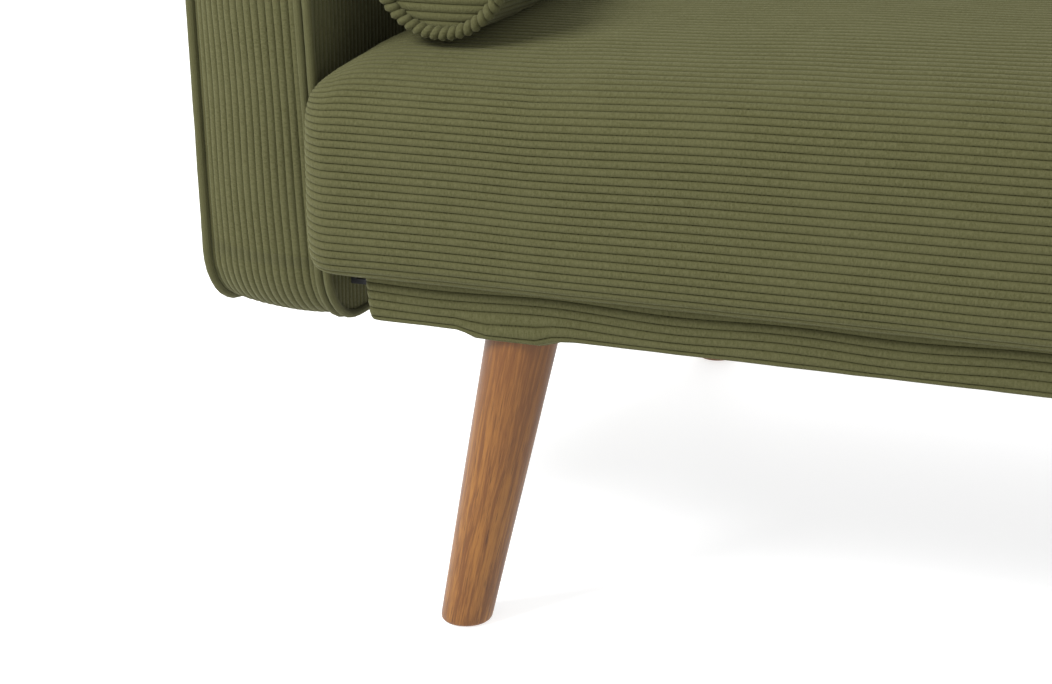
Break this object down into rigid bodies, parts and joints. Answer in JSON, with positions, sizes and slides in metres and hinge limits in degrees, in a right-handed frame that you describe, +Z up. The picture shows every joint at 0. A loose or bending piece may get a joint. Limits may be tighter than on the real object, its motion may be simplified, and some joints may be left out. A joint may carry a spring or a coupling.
{
  "type": "futon sofa bed",
  "caption": "Corduroy click-clack sofa bed with split reclining back, upholstered arms, loose bolsters and splayed tapered wooden legs.",
  "frame": {"origin": "on the floor, at the middle of the outer box in plan", "axes": "+X to the right end as seen from the front, +Y from the front to the back, +Z up"},
  "size_m": [1.96, 0.8237, 0.8049],
  "materials": {
    "cloth": "matte",
    "piping_cloth": "matte",
    "leg_wood": "satin",
    "slat_wood": "matte",
    "frame_wood": "matte",
    "foam": "matte",
    "lining": "matte",
    "glide_plastic": "matte",
    "black_steel": "satin",
    "steel": "satin"
  },
  "bodies": {
    "sofa": {"plinth_front_rail": "frame_wood", "plinth_rear_rail": "frame_wood", "plinth_side_rails": "frame_wood", "plinth_middle_rail": "frame_wood", "corner_blocks": "frame_wood", "plinth_front_cover": "cloth", "plinth_rear_cover": "cloth", "plinth_end_covers": "cloth", "dust_cover": "lining", "leg_front_left": "leg_wood", "leg_front_right": "leg_wood", "leg_rear_left": "leg_wood", "leg_rear_right": "leg_wood", "middle_leg": "leg_wood", "leg_plates": "steel", "leg_bolts": "steel", "leg_plate_screws": "steel", "leg_glides": "glide_plastic", "frame_bolts": "steel", "seat_front_rail": "frame_wood", "seat_rear_rail": "frame_wood", "seat_end_rails": "frame_wood", "seat_middle_rail": "frame_wood", "seat_slats": "slat_wood", "seat_foam": "foam", "seat_cover": "cloth", "arm_frame_left": "frame_wood", "arm_frame_right": "frame_wood", "arm_foam_left": "foam", "arm_foam_right": "foam", "arm_cover_left": "cloth", "arm_cover_right": "cloth", "arm_welts_left": "piping_cloth", "arm_welts_right": "piping_cloth", "arm_standoffs": "black_steel", "arm_bolts": "steel", "seat_hinge_plates": "black_steel", "middle_hinge_bracket": "black_steel", "hinge_pins": "steel", "hinge_bolts": "steel", "pawl_springs": "black_steel"},
    "back_left": {"back_frame_left": "frame_wood", "back_slats_left": "slat_wood", "back_foam_left": "foam", "back_cover_left": "cloth", "back_hinge_leaves_left": "black_steel"},
    "back_right": {"back_frame_right": "frame_wood", "back_slats_right": "slat_wood", "back_foam_right": "foam", "back_cover_right": "cloth", "back_hinge_leaves_right": "black_steel"},
    "pawl_left": {"ratchet_pawl_left": "black_steel"},
    "pawl_right": {"ratchet_pawl_right": "black_steel"},
    "bolster_left": {"bolster_fill_left": "foam", "bolster_cover_left": "cloth", "bolster_piping_left": "piping_cloth"},
    "bolster_right": {"bolster_fill_right": "foam", "bolster_cover_right": "cloth", "bolster_piping_right": "piping_cloth"}
  },
  "joints": [
    {"name": "back_left_recline", "type": "hinge", "parent": "sofa", "child": "back_left", "pos_m": [-0.431, 0.22004, 0.365], "axis": [-1, 0, 0], "range_deg": [-12, 75]},
    {"name": "back_right_recline", "type": "hinge", "parent": "sofa", "child": "back_right", "pos_m": [0.431, 0.22004, 0.365], "axis": [-1, 0, 0], "range_deg": [-12, 75]},
    {"name": "pawl_left_rock", "type": "hinge", "parent": "sofa", "child": "pawl_left", "pos_m": [-0.8578, 0.24404, 0.303], "axis": [1, 0, 0], "range_deg": [0, 12]},
    {"name": "pawl_right_rock", "type": "hinge", "parent": "sofa", "child": "pawl_right", "pos_m": [0.8578, 0.24404, 0.303], "axis": [1, 0, 0], "range_deg": [0, 12]},
    {"name": "bolster_left_lift", "type": "slide", "parent": "sofa", "child": "bolster_left", "axis": [0, 0, 1], "range_m": [0, 0.3]},
    {"name": "bolster_right_lift", "type": "slide", "parent": "sofa", "child": "bolster_right", "axis": [0, 0, 1], "range_m": [0, 0.3]}
  ]
}
